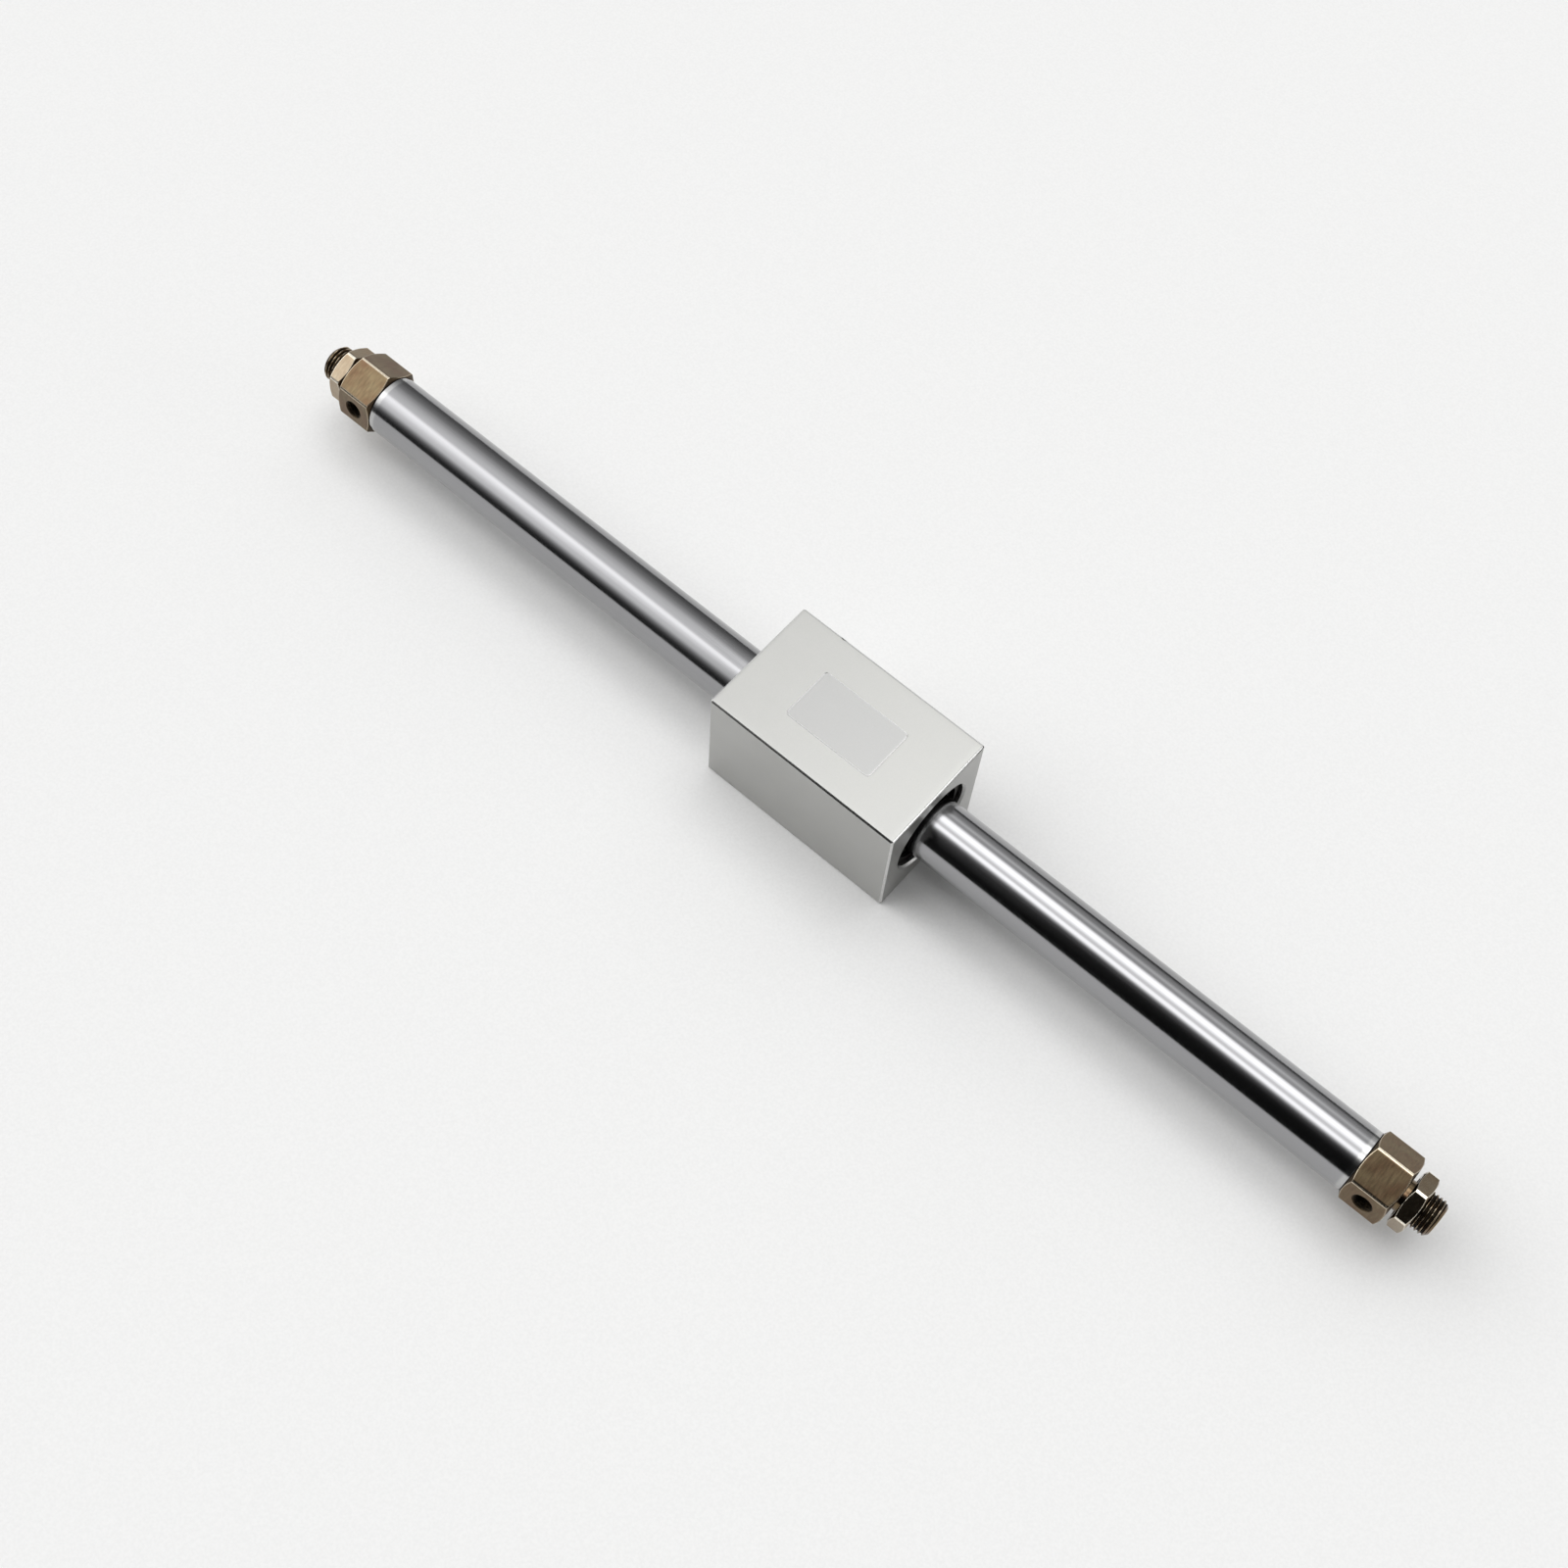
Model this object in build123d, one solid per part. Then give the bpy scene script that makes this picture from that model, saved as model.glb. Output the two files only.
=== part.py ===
from build123d import *
import os
from math import radians, sqrt, tan

os.makedirs("parts", exist_ok=True)

# A magnetically coupled rodless air cylinder, in millimetres.
# The origin is on the tube's axis at mid-length, +X runs along the tube and +Z points up.
# A piston with a stack of ring magnets slides inside a sealed, non-magnetic tube. A slider block
# with a matching stack rides outside it and is pulled along through the tube wall.

# Driving dimensions of the tube and the travel
tube_bore_diameter = 15.0
tube_wall = 0.8
stroke = 250.0
end_gap = 2.0               # slider end to head cover at the end of the stroke
stop_clearance = 0.2        # piston to bumper at the end of the stroke
running_clearance = 0.05    # radial, between pieces that turn or slide on each other
seat_clearance = 0.05       # radial, between pieces that are fixed in each other
seal_clearance = 0.02       # radial, between a seal's rim and its wall
air_gap = 0.3               # radial, between the tube's wall and each yoke

# Driving dimensions of the head covers
hex_margin = 0.2            # flat of the hexagon above the tube
hex_length = 11.0
hex_face_inset = 0.1        # flat to the circle that the chamfer leaves on each end
hex_chamfer_angle = 30.0
stud_diameter = 10.0
stud_length = 10.0
stud_chamfer = 0.9
stud_relief_depth = 0.8
stud_relief_length = 1.4
spigot_length = 6.0
gasket_groove_depth = 1.35
gasket_groove_width = 2.2
gasket_side_clearance = 0.1
gasket_inset = 1.4          # groove to the free end of the spigot
bumper_thickness = 1.5
bumper_clearance = 0.3      # radial, bumper to tube
bumper_hole_diameter = 5.0
passage_diameter = 3.0
passage_overrun = 0.6       # air passage past the middle of the port
port_diameter = 4.2
port_inset = 5.5            # port to the outer end of the hexagon
port_overrun = 0.5          # port past the tube's axis
port_rise = 7.0             # degrees that the ports point above the horizontal

# Driving dimensions of the mounting nuts
nut_across_flats = 14.0
nut_thickness = 4.0
nut_face_inset = 0.2
nut_chamfer_angle = 22.0
nut_gap = {"left": 0.9, "right": 1.2}     # nut to head cover
nut_turn = {"left": 3.4, "right": -4.5}   # degrees that a flat is turned above the horizontal
chamfer_margin = 1.0        # how far a chamfer's cone is drawn past a hexagon's corners

# Driving dimensions of the magnet stacks
magnet_count = 3
magnet_thickness = 5.5
yoke_thickness = 2.75
shaft_diameter = 6.0
magnet_step = 0.1           # radial, from a yoke's rim back to its magnet's

# Driving dimensions of the pistons
piston_clearance = 0.1      # radial, piston's lands to tube
piston_nose_length = 1.7    # end land, outside the seal
seal_groove_width = 2.4
seal_groove_depth = 2.0
seal_side_clearance = 0.1
piston_land_length = 1.4    # land between the seal and the wear ring
piston_ring_seat_depth = 1.1
shaft_engagement = 6.8      # length of shaft held in each piston
shaft_end_clearance = 0.2

# Driving dimensions of the slider
slider_length = 57.0
slider_wall = 4.35          # thinnest wall, outside the retaining ring's groove
slider_edge_chamfer = 0.5
slider_ring_depth = 3.35    # radial, from the tube's wall out to the slider's bore
recess_step = 0.8           # radial, from the bore out to the recess at each end
recess_chamfer = 0.6
ring_inset = 1.5            # retaining ring groove to the end of the slider
ring_groove_depth = 0.7
ring_groove_width = 1.3
ring_thickness = 1.2
ring_band_width = 2.3
ring_gap_width = 3.6
ring_lug_radius = 1.7
ring_lug_inset = 2.1        # lug centre to the rim of the ring
ring_eyelet_diameter = 1.5
ring_clearance = 0.05
spacer_thickness = 1.2
spacer_clearance = 0.4      # radial, spacer to tube
lube_retainer_length = 3.0
load_hole_diameter = 3.3
load_hole_depth = 6.0
load_hole_tip_angle = 118.0
load_hole_spacing_x = 35.0
load_hole_spacing_y = 19.0

# Diameters that follow from the tube's wall, inwards and then outwards
piston_diameter = tube_bore_diameter - 2 * piston_clearance
piston_yoke_diameter = tube_bore_diameter - 2 * air_gap
piston_magnet_diameter = piston_yoke_diameter - 2 * magnet_step
seal_groove_diameter = piston_diameter - 2 * seal_groove_depth
piston_ring_seat_diameter = piston_diameter - 2 * piston_ring_seat_depth
spigot_diameter = tube_bore_diameter - 2 * seat_clearance
gasket_groove_diameter = spigot_diameter - 2 * gasket_groove_depth
bumper_outer_diameter = tube_bore_diameter - 2 * bumper_clearance
tube_outer_diameter = tube_bore_diameter + 2 * tube_wall
hex_across_flats = tube_outer_diameter + 2 * hex_margin
slider_yoke_bore = tube_outer_diameter + 2 * air_gap
slider_magnet_bore = slider_yoke_bore + 2 * magnet_step
slider_bore_diameter = tube_outer_diameter + 2 * slider_ring_depth
recess_diameter = slider_bore_diameter + 2 * recess_step
ring_groove_diameter = recess_diameter + 2 * ring_groove_depth
slider_width = ring_groove_diameter + 2 * slider_wall

# Places along the tube, worked out from the sizes above
hex_start = slider_length / 2 + stroke / 2 + end_gap
hex_end = hex_start + hex_length
stud_end = hex_end + stud_length
spigot_end = hex_start - spigot_length
bumper_end = spigot_end - bumper_thickness
stack_length = magnet_count * magnet_thickness + (magnet_count + 1) * yoke_thickness
stack_end = stack_length / 2
piston_end = bumper_end - stop_clearance - stroke / 2
ring_start = slider_length / 2 - ring_inset - ring_groove_width
recess_end = ring_start - spacer_thickness
retainer_start = recess_end - lube_retainer_length


def disc(diameter, start, end):
    """A round bar along X."""
    return Pos(start, 0, 0) * extrude(Plane.YZ * Circle(diameter / 2), end - start)


def tube_ring(outer_diameter, inner_diameter, start, end):
    """A plain ring around X."""
    section = Circle(outer_diameter / 2) - Circle(inner_diameter / 2)
    return Pos(start, 0, 0) * extrude(Plane.YZ * section, end - start)


def turned(profile):
    """A solid turned about X from (place along X, radius) corners."""
    return revolve(Plane.XZ * make_face(Polyline(*profile, close=True)), Axis.X)


def chamfered_hexagon(across_flats, face_inset, chamfer_angle, flat_rise, start, end):
    """A hexagon along X whose corners are turned off at both ends, as on a nut.

    One flat faces the front, -Y, and is turned flat_rise degrees above the horizontal.
    """
    flats = RegularPolygon(across_flats / 2, 6, major_radius=False, rotation=30 - flat_rise)
    prism = Pos(start, 0, 0) * extrude(Plane.YZ * flats, end - start)
    face = across_flats / 2 - face_inset
    corner = across_flats / sqrt(3) + chamfer_margin
    drop = (corner - face) * tan(radians(chamfer_angle))
    turned_off = turned([
        (start, 0),
        (start, face),
        (start + drop, corner),
        (end - drop, corner),
        (end, face),
        (end, 0),
    ])
    return prism & turned_off


def on_both_ends(name, shape):
    """The piece at the right end, and its mirror image at the left end."""
    return {f"{name}_right": shape, f"{name}_left": mirror(shape, Plane.YZ)}


# The tube and its head covers
def cylinder_tube():
    return tube_ring(tube_outer_diameter, tube_bore_diameter, -hex_start, hex_start)


def gasket_places():
    """Where the gasket groove starts and ends on the right spigot."""
    start = spigot_end + gasket_inset
    return start, start + gasket_groove_width


def head_cover():
    """Spigot with its gasket groove, hexagon, relief and stud, drilled for air."""
    spigot = spigot_diameter / 2
    groove = gasket_groove_diameter / 2
    groove_start, groove_end = gasket_places()
    stud = stud_diameter / 2
    relief = stud - stud_relief_depth
    relief_end = hex_end + stud_relief_length
    core = turned([
        (spigot_end, 0),
        (spigot_end, spigot),
        (groove_start, spigot),
        (groove_start, groove),
        (groove_end, groove),
        (groove_end, spigot),
        (hex_start, spigot),
        (hex_end, spigot),
        (hex_end, relief),
        (relief_end, relief),
        (relief_end + stud_relief_depth, stud),
        (stud_end - stud_chamfer, stud),
        (stud_end, stud - stud_chamfer),
        (stud_end, 0),
    ])
    hexagon = chamfered_hexagon(
        hex_across_flats, hex_face_inset, hex_chamfer_angle, port_rise, hex_start, hex_end
    )
    port_place = hex_end - port_inset
    passage = disc(passage_diameter, spigot_end, port_place + passage_overrun)
    port_length = hex_across_flats / 2 + port_overrun
    port_middle = port_length / 2 - port_overrun
    port = Cylinder(port_diameter / 2, port_length)
    port = Rot(-port_rise, 0, 0) * (Pos(port_place, -port_middle, 0) * (Rot(90, 0, 0) * port))
    return core + hexagon - passage - port


def tube_gasket():
    start, end = gasket_places()
    outer = tube_bore_diameter - 2 * seal_clearance
    inner = gasket_groove_diameter + 2 * seal_clearance
    return tube_ring(outer, inner, start + gasket_side_clearance, end - gasket_side_clearance)


def bumper():
    """Soft ring on the spigot's end that the piston comes to rest against."""
    return tube_ring(bumper_outer_diameter, bumper_hole_diameter, bumper_end, spigot_end)


# The mounting nuts
def mounting_nut(side):
    """Thin hexagon nut, run up near the head cover. Its thread is left plain."""
    start = hex_end + nut_gap[side]
    end = start + nut_thickness
    body = chamfered_hexagon(
        nut_across_flats, nut_face_inset, nut_chamfer_angle, nut_turn[side], start, end
    )
    nut = body - disc(stud_diameter + 2 * running_clearance, start, end)
    return nut if side == "right" else mirror(nut, Plane.YZ)


# The magnet stacks, with a yoke on each side of every magnet
def stack(prefix, yoke, magnet):
    """Yokes and magnets by turns along X. yoke and magnet are (outer, inner) diameters."""
    rings = {}
    place = -stack_end
    for number in range(1, magnet_count + 2):
        rings[f"{prefix}_yoke_{number}"] = tube_ring(*yoke, place, place + yoke_thickness)
        place += yoke_thickness
        if number > magnet_count:
            break
        rings[f"{prefix}_magnet_{number}"] = tube_ring(*magnet, place, place + magnet_thickness)
        place += magnet_thickness
    return rings


# The piston
def piston_shaft():
    reach = stack_end + shaft_engagement
    return disc(shaft_diameter, -reach, reach)


def piston_places():
    """Where the right piston's seal groove starts and ends, and where its middle land ends."""
    seal_end = piston_end - piston_nose_length
    seal_start = seal_end - seal_groove_width
    return seal_start, seal_end, seal_start - piston_land_length


def piston():
    """Turned disc with a seal groove and a seat for the wear ring, bored for the shaft."""
    land = piston_diameter / 2
    seal_start, seal_end, seat_end = piston_places()
    hole = shaft_diameter / 2 + seat_clearance
    hole_end = stack_end + shaft_engagement + shaft_end_clearance
    return turned([
        (stack_end, hole),
        (stack_end, piston_ring_seat_diameter / 2),
        (seat_end, piston_ring_seat_diameter / 2),
        (seat_end, land),
        (seal_start, land),
        (seal_start, seal_groove_diameter / 2),
        (seal_end, seal_groove_diameter / 2),
        (seal_end, land),
        (piston_end, land),
        (piston_end, 0),
        (hole_end, 0),
        (hole_end, hole),
    ])


def piston_seal():
    seal_start, seal_end, _ = piston_places()
    outer = tube_bore_diameter - 2 * seal_clearance
    inner = seal_groove_diameter + 2 * seal_clearance
    return tube_ring(outer, inner, seal_start + seal_side_clearance, seal_end - seal_side_clearance)


def piston_wear_ring():
    """Plastic band that carries the piston in the bore, held between a land and a yoke."""
    _, _, seat_end = piston_places()
    outer = tube_bore_diameter - 2 * running_clearance
    inner = piston_ring_seat_diameter + 2 * seat_clearance
    return tube_ring(outer, inner, stack_end, seat_end)


# The slider
def slider_body():
    """Block with a bore for its magnets, a recess and ring groove at each end, and four holes."""
    block = Box(slider_length, slider_width, slider_width)
    block = chamfer(block.edges(), slider_edge_chamfer)
    half = slider_length / 2
    bore = slider_bore_diameter / 2
    recess = recess_diameter / 2
    groove = ring_groove_diameter / 2
    cut = turned([
        (0, 0),
        (0, bore),
        (recess_end, bore),
        (recess_end, recess),
        (ring_start, recess),
        (ring_start, groove),
        (ring_start + ring_groove_width, groove),
        (ring_start + ring_groove_width, recess),
        (half - recess_chamfer, recess),
        (half, recess + recess_chamfer),
        (half, 0),
    ])
    block = block - cut - mirror(cut, Plane.YZ)
    tip = load_hole_diameter / 2 / tan(radians(load_hole_tip_angle / 2))
    drill = Pos(0, 0, load_hole_depth / 2) * Cylinder(load_hole_diameter / 2, load_hole_depth)
    drill += Pos(0, 0, load_hole_depth + tip / 2) * Cone(load_hole_diameter / 2, 0, tip)
    for place in GridLocations(load_hole_spacing_x, load_hole_spacing_y, 2, 2):
        block -= Pos(0, 0, -slider_width / 2) * place * drill
    return block


def slider_wear_ring():
    """Plastic bush that carries the slider on the tube."""
    outer = slider_bore_diameter - 2 * seat_clearance
    inner = tube_outer_diameter + 2 * running_clearance
    return tube_ring(outer, inner, stack_end, retainer_start)


def slider_lube_retainer():
    """Oiled ring that wipes the tube and keeps dust out."""
    outer = slider_bore_diameter - 2 * seat_clearance
    inner = tube_outer_diameter + 2 * seal_clearance
    return tube_ring(outer, inner, retainer_start, recess_end)


def slider_spacer():
    """Flat ring in the recess, between the lube retainer and the retaining ring."""
    outer = recess_diameter - 2 * seat_clearance
    inner = tube_outer_diameter + 2 * spacer_clearance
    return tube_ring(outer, inner, recess_end, ring_start)


def slider_retaining_ring():
    """Open spring ring with two lugs and eyelets, in its groove."""
    outer = ring_groove_diameter / 2 - ring_clearance
    lug_place = outer - ring_lug_inset
    lug_shift = ring_gap_width / 2 + ring_lug_radius
    lug_drop = -sqrt(lug_place ** 2 - lug_shift ** 2)
    band = Circle(outer) - Circle(outer - ring_band_width)
    band -= Pos(0, -outer) * Rectangle(ring_gap_width + 2 * ring_lug_radius, 2 * outer - ring_gap_width)
    for shift in (-lug_shift, lug_shift):
        band += Pos(shift, lug_drop) * Circle(ring_lug_radius)
    for shift in (-lug_shift, lug_shift):
        band -= Pos(shift, lug_drop) * Circle(ring_eyelet_diameter / 2)
    return Pos(ring_start, 0, 0) * extrude(Plane.YZ * band, ring_thickness)


# Every piece by its name
pieces = {"cylinder_tube": cylinder_tube(), "piston_shaft": piston_shaft()}
pieces |= {"slider_body": slider_body()}
pieces |= {f"mounting_nut_{side}": mounting_nut(side) for side in ("right", "left")}
for name, make in {
    "head_cover": head_cover,
    "tube_gasket": tube_gasket,
    "bumper": bumper,
    "piston": piston,
    "piston_seal": piston_seal,
    "piston_wear_ring": piston_wear_ring,
    "slider_wear_ring": slider_wear_ring,
    "slider_spacer": slider_spacer,
    "slider_lube_retainer": slider_lube_retainer,
    "slider_retaining_ring": slider_retaining_ring,
}.items():
    pieces |= on_both_ends(name, make())
pieces |= stack(
    "piston",
    (piston_yoke_diameter, shaft_diameter + 2 * seat_clearance),
    (piston_magnet_diameter, shaft_diameter + 2 * seat_clearance),
)
pieces |= stack(
    "slider",
    (slider_bore_diameter - 2 * seat_clearance, slider_yoke_bore),
    (slider_bore_diameter - 2 * seat_clearance, slider_magnet_bore),
)

for name, shape in pieces.items():
    export_step(shape, f"parts/{name}.step")
    print(name, round(shape.volume, 1))
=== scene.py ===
# %% [markdown]
# A rodless air cylinder, dressed for its portrait.
# The CAD model gives every piece its size and place. This lesson loads it as a fixed frame, builds
# finer skins for the pieces that the eye rests on, gives every piece a finish, and sets the light
# and the camera. The lengths in the shapes are millimetres, turned into metres when a mesh is made.

# %% Load the frame
import bmesh
import bpy
import numpy as np
from mathutils import Matrix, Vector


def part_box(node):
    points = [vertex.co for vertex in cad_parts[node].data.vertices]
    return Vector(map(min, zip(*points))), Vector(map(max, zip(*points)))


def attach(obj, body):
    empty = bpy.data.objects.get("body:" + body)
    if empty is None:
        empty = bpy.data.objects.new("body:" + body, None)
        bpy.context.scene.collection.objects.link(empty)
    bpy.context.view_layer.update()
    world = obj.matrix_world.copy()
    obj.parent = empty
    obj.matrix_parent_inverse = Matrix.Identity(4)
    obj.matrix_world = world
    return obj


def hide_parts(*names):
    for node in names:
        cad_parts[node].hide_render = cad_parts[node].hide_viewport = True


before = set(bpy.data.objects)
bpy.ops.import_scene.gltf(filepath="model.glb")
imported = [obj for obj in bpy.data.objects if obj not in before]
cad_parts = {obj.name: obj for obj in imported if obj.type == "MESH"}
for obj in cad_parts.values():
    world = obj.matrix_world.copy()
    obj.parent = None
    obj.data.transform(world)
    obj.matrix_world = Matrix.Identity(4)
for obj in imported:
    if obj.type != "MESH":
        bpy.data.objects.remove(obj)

MM = 0.001
TURN = 2 * np.pi
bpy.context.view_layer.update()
scene = bpy.context.scene
print("CAD nodes:", len(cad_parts))

# %% [markdown]
# The camera stands where the photographer's did: in front, to the right, and high above the tube.
# It could be aimed with a Track To constraint, but a photograph also rolls a little, so its three
# directions are worked out from the azimuth, the elevation and the roll, and put in one matrix.

# %% Place the camera
CAMERA_AZIMUTH, CAMERA_ELEVATION, CAMERA_ROLL = np.radians([35.365, 63.201, 6.020])
CAMERA_DISTANCE = 574.5
CAMERA_ASIDE = 14.338       # the middle of the picture, from the origin to the left
CAMERA_BELOW = 6.757        # the middle of the picture, from the origin downwards
SENSOR_WIDTH = 36.0
LENS_LENGTH = 53.64
CLIP_NEAR, CLIP_FAR = 10.0, 20000.0     # nothing nearer or further than this is drawn

back = np.array([
    np.sin(CAMERA_AZIMUTH) * np.cos(CAMERA_ELEVATION),
    -np.cos(CAMERA_AZIMUTH) * np.cos(CAMERA_ELEVATION),
    np.sin(CAMERA_ELEVATION),
])
level_right = np.array([np.cos(CAMERA_AZIMUTH), np.sin(CAMERA_AZIMUTH), 0])
level_up = np.cross(back, level_right)
right = np.cos(CAMERA_ROLL) * level_right + np.sin(CAMERA_ROLL) * level_up
up = np.cos(CAMERA_ROLL) * level_up - np.sin(CAMERA_ROLL) * level_right
stand = (CAMERA_DISTANCE * back - CAMERA_ASIDE * right - CAMERA_BELOW * up) * MM

camera_data = bpy.data.cameras.new("camera")
camera_data.lens = LENS_LENGTH
camera_data.sensor_width = SENSOR_WIDTH
camera_data.clip_start = CLIP_NEAR * MM
camera_data.clip_end = CLIP_FAR * MM
camera = bpy.data.objects.new("camera", camera_data)
camera.matrix_world = Matrix.Translation(stand) @ Matrix((right, up, back)).transposed().to_4x4()
scene.collection.objects.link(camera)
scene.camera = camera
scene.view_settings.view_transform = "Standard"
print("camera at", [round(place / MM, 1) for place in stand], "mm")

# %% [markdown]
# Materials and light are both built from nodes, so one small helper comes first. It adds a node,
# and gives each input either a plain value or a wire from another node. A shader node group is a
# tree of its own with named sockets, which is placed in a material like any node.

# %% Helpers for nodes
NOISE_LOW, NOISE_HIGH = 0.3, 0.7        # nearly all of a noise's values lie between these


def place(tree, kind, inputs=(), **settings):
    """A new node. An input is given by its name or number, as a value or as another node's output."""
    node = tree.nodes.new("ShaderNode" + kind)
    for name, value in settings.items():
        setattr(node, name, value)
    for name, value in dict(inputs).items():
        if isinstance(value, bpy.types.NodeSocket):
            tree.links.new(value, node.inputs[name])
        else:
            node.inputs[name].default_value = value
    return node


def math(tree, operation, *values, clamp=False):
    """The output of a Math node on the given values or wires."""
    return place(tree, "Math", enumerate(values), operation=operation, use_clamp=clamp).outputs[0]


def fitted(tree, value, low, high, start=0.0, end=1.0, smooth=False):
    """Value moved from the range low..high to start..end, and held inside it."""
    ranges = {"Value": value, "From Min": low, "From Max": high, "To Min": start, "To Max": end}
    interpolation = "SMOOTHSTEP" if smooth else "LINEAR"
    return place(tree, "MapRange", ranges, interpolation_type=interpolation).outputs[0]


def blended(tree, share, first, second, blend_type="MIX"):
    """Two colours mixed by a share, from all of the first at 0 to all of the second at 1."""
    mixer = place(tree, "Mix", data_type="RGBA", blend_type=blend_type)
    for socket, value in ((0, share), (6, first), (7, second)):
        if isinstance(value, bpy.types.NodeSocket):
            tree.links.new(value, mixer.inputs[socket])
        else:
            mixer.inputs[socket].default_value = value
    return mixer.outputs[2]


def new_group(name, inputs, outputs):
    """A shader node group with named number inputs and outputs, and its two end nodes."""
    tree = bpy.data.node_groups.new(name, "ShaderNodeTree")
    for label, start in inputs.items():
        socket = tree.interface.new_socket(label, in_out="INPUT", socket_type="NodeSocketFloat")
        socket.default_value = start
    for label in outputs:
        tree.interface.new_socket(label, in_out="OUTPUT", socket_type="NodeSocketFloat")
    return tree, tree.nodes.new("NodeGroupInput"), tree.nodes.new("NodeGroupOutput")


# %% [markdown]
# A bright tube is a mirror of its studio, so the studio is drawn first. The world is a plain soft
# room, made of levels of light by the angle round the tube's own axis: a long soft box overhead, a
# dark card in front and a dim wall behind. Lamps could make the same streaks, but a world has no
# edges to tune in depth and casts no hard shadow. The left of the room is open and pale, which
# lights the left end. Far to the right the room is dim, which leaves the block's end face in shade,
# apart from one small window that the bevel along the block's end mirrors.

# %% Light the room
# Brightness by degrees round the tube's axis: 0 is overhead, 90 the front and -90 the back.
RIGHT_ROOM = {
    -90: 0.06, -81: 0.12, -74: 0.5, -68: 0.5, -60: 0.65, -52: 1.25, -42: 0.75, -36: 0.72, -31: 2.2,
    -27: 3.1, -20: 3.6, -12: 2.9, -4: 1.6, 2: 1.75, 6: 3.1, 14: 3.0, 20: 0.95, 25: 0.28, 31: 0.08,
    44: 0.01, 90: 0.005,
}
LEFT_ROOM = {
    -90: 0.12, -78: 0.18, -66: 0.28, -52: 0.42, -40: 0.72, -25: 1.05, -10: 1.32, 0: 1.45, 7: 2.6,
    15: 2.6, 24: 2.1, 36: 1.6, 46: 1.4, 53: 0.82, 60: 0.36, 68: 0.13, 76: 0.04, 90: 0.02,
}
FAR_ROOM = {
    -90: 0.03, -74: 0.05, -60: 0.08, -42: 0.08, -31: 0.3, -27: 0.5, -20: 0.62, -12: 0.45, -4: 0.18,
    2: 0.2, 6: 0.5, 14: 0.45, 20: 0.08, 30: 0.03, 52: 0.03, 60: 0.15, 68: 0.2, 76: 0.15, 84: 0.06,
    90: 0.04,
}
WINDOW = {-65: 0.0, -60: 2.6, -49: 2.6, -44: 0.0}
WALL_BASE = 0.75                        # far to the left, a pale wall adds this to the left room
HORIZON = (0.905, 0.905, 0.90, 1)       # what the camera sees beyond the floor's edge

# Where each part of the room begins and where it is complete, by how far a direction points along
# the tube: -1 is straight to the left, and 1 straight to the right.
LEFT_FADE = (-0.26, -0.30)
WALL_FADE = (-0.52, -0.70)
FAR_FADE = (0.10, 0.40)
WINDOW_FADE = (0.78, 0.86)


def room_levels(tree, angle, levels):
    """A colour ramp that gives the brightness for an angle round the tube's axis."""
    ramp = place(tree, "ValToRGB", {"Fac": angle}).color_ramp
    for degrees, level in levels.items():
        stop = ramp.elements.new(0.5 + degrees / 360)
        stop.color = (level, level, level, 1)
    for unused in (ramp.elements[0], ramp.elements[-1]):
        unused.color = (0, 0, 0, 1)
    return tree.nodes[-1].outputs[0]


world = bpy.data.worlds.new("studio")
world.use_nodes = True
world.node_tree.nodes.clear()
room = world.node_tree
direction = place(room, "SeparateXYZ", {0: place(room, "TexCoord").outputs["Generated"]}).outputs
front = math(room, "MULTIPLY", direction[1], -1.0)
angle = math(room, "ARCTAN2", front, direction[2])
angle = math(room, "MULTIPLY_ADD", angle, 1 / TURN, 0.5)
leftness = fitted(room, direction[0], *LEFT_FADE, smooth=True)
left_level = room_levels(room, angle, LEFT_ROOM)
level = blended(room, leftness, room_levels(room, angle, RIGHT_ROOM), left_level)
wall = fitted(room, direction[0], *WALL_FADE, smooth=True)
level = blended(room, wall, level, math(room, "ADD", left_level, WALL_BASE))
far = fitted(room, direction[0], *FAR_FADE, smooth=True)
level = blended(room, far, level, room_levels(room, angle, FAR_ROOM))
beside_window = fitted(room, direction[0], *WINDOW_FADE, smooth=True)
window = math(room, "MULTIPLY", beside_window, room_levels(room, angle, WINDOW))
level = math(room, "ADD", level, window)
seen = place(room, "LightPath").outputs["Is Camera Ray"]
background = place(room, "Background", {"Color": blended(room, seen, level, HORIZON)})
place(room, "OutputWorld", {"Surface": background.outputs[0]})
scene.world = world

# %% [markdown]
# The block stands on a plain pale floor. A sheet of paper several metres wide would do in a studio,
# and one large face does here. Its brightness is its own pale colour under the room's light, with
# nothing added for the camera, so metal near it mirrors the same floor with the same soft shadows.

# %% Lay the floor
FLOOR_HALF = 30000.0
FLOOR_GAP = 0.02            # so that the floor does not lie in the block's own underside
FLOOR_COLOUR = (0.87, 0.87, 0.865, 1)
FLOOR_FIBRE = 1500.0        # paper fibre, in cells per metre
FIBRE_SHADE = 0.96          # of the floor's brightness, where its fibre is darkest

paper = bpy.data.materials.new("paper_floor")
paper.use_nodes = True
tree = paper.node_tree
tree.nodes.clear()
fibre = place(tree, "TexNoise", {
    "Vector": place(tree, "TexCoord").outputs["Object"], "Scale": FLOOR_FIBRE, "Detail": 1.0,
})
fibre_share = fitted(tree, fibre.outputs[0], NOISE_LOW, NOISE_HIGH, FIBRE_SHADE, 1.0)
fibre_colour = blended(tree, fibre_share, (0, 0, 0, 1), FLOOR_COLOUR)
lit = place(tree, "BsdfDiffuse", {"Color": fibre_colour})
place(tree, "OutputMaterial", {"Surface": lit.outputs[0]})

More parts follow.
